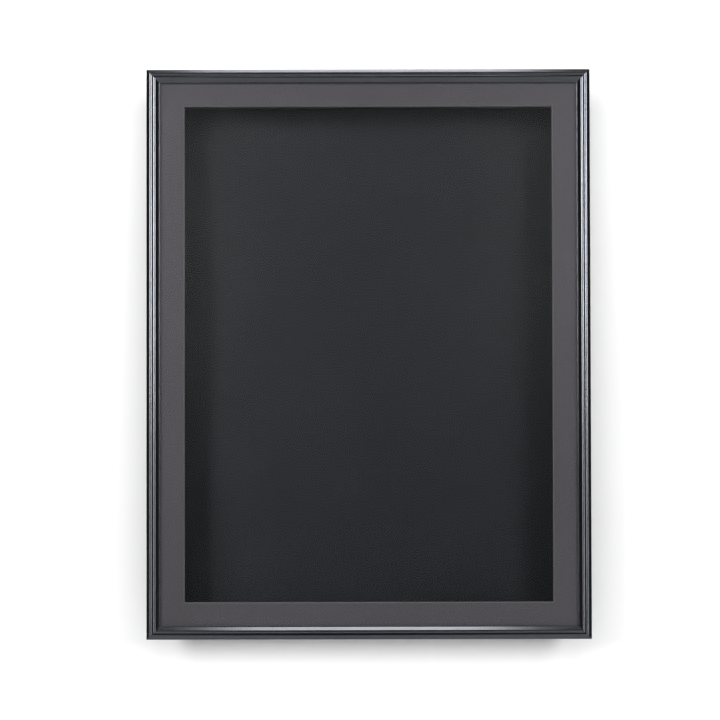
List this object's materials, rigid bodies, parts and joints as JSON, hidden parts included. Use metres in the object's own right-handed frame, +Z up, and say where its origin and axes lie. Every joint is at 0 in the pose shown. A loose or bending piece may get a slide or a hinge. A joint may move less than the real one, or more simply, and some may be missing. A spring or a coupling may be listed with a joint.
{
  "type": "shadow box",
  "caption": "Shallow wall-hung display case with a side-hinged glazed front: beaded metal frame, mat board with a rectangular window, dark cabinet and cloth-covered display board.",
  "frame": {"origin": "centre of the back panel's rear face, where the case lies against the wall", "axes": "+X to the viewer's right, +Z up, +Y into the wall, so the glazed front faces -Y"},
  "size_m": [0.537, 0.08, 0.689],
  "materials": {
    "black_anodised": "satin black anodised extrusion",
    "charcoal_mat": "matte charcoal mat board with a bevelled window",
    "clear_glazing": "clear and polished",
    "black_laminate": "matte black laminate on board",
    "hardboard": "plain brown hardboard",
    "fibreboard": "soft fibreboard",
    "black_cloth": "fine plain-woven black cloth, stretched",
    "hook_tape": "black hook-and-loop tape",
    "foam_seal": "closed-cell black foam",
    "painted_bar": "matte black paint on wood",
    "hinge_steel": "black-coated steel",
    "zinc_steel": "zinc-plated steel",
    "nickel_magnet": "nickel-plated magnet"
  },
  "bodies": {
    "cabinet": {"back_panel": "hardboard", "catch_magnet_lower": "nickel_magnet", "catch_magnet_upper": "nickel_magnet", "display_board": "fibreboard", "display_cloth": "black_cloth", "dust_seal_bottom": "foam_seal", "dust_seal_left": "foam_seal", "dust_seal_right": "foam_seal", "dust_seal_top": "foam_seal", "hinge_leaf_cabinet": "hinge_steel", "hinge_pin": "zinc_steel", "hinge_screw_cabinet_1": "zinc_steel", "hinge_screw_cabinet_2": "zinc_steel", "hinge_screw_cabinet_3": "zinc_steel", "hinge_screw_cabinet_4": "zinc_steel", "hook_tape_lower": "hook_tape", "hook_tape_upper": "hook_tape", "panel_screw_left_bottom": "zinc_steel", "panel_screw_left_middle": "zinc_steel", "panel_screw_left_top": "zinc_steel", "panel_screw_right_bottom": "zinc_steel", "panel_screw_right_middle": "zinc_steel", "panel_screw_right_top": "zinc_steel", "wall_bottom": "black_laminate", "wall_left": "black_laminate", "wall_right": "black_laminate", "wall_top": "black_laminate"},
    "door": {"corner_key_bottom_left": "zinc_steel", "corner_key_bottom_right": "zinc_steel", "corner_key_top_left": "zinc_steel", "corner_key_top_right": "zinc_steel", "glazing": "clear_glazing", "hinge_leaf_door": "hinge_steel", "hinge_screw_door_1": "zinc_steel", "hinge_screw_door_2": "zinc_steel", "hinge_screw_door_3": "zinc_steel", "hinge_screw_door_4": "zinc_steel", "key_screw_bottom_left_rail": "zinc_steel", "key_screw_bottom_left_stile": "zinc_steel", "key_screw_bottom_right_rail": "zinc_steel", "key_screw_bottom_right_stile": "zinc_steel", "key_screw_top_left_rail": "zinc_steel", "key_screw_top_left_stile": "zinc_steel", "key_screw_top_right_rail": "zinc_steel", "key_screw_top_right_stile": "zinc_steel", "mat_board": "charcoal_mat", "moulding_bottom": "black_anodised", "moulding_left": "black_anodised", "moulding_right": "black_anodised", "moulding_top": "black_anodised", "retaining_bar_bottom": "painted_bar", "retaining_bar_left": "painted_bar", "retaining_bar_right": "painted_bar", "retaining_bar_top": "painted_bar", "strike_plate_lower": "zinc_steel", "strike_plate_upper": "zinc_steel", "strike_screw_lower": "zinc_steel", "strike_screw_upper": "zinc_steel"}
  },
  "joints": [
    {"name": "door_hinge", "type": "hinge", "parent": "cabinet", "child": "door", "pos_m": [-0.248, -0.056, 0], "axis": [0, 0, -1], "range_deg": [0, 105]}
  ]
}
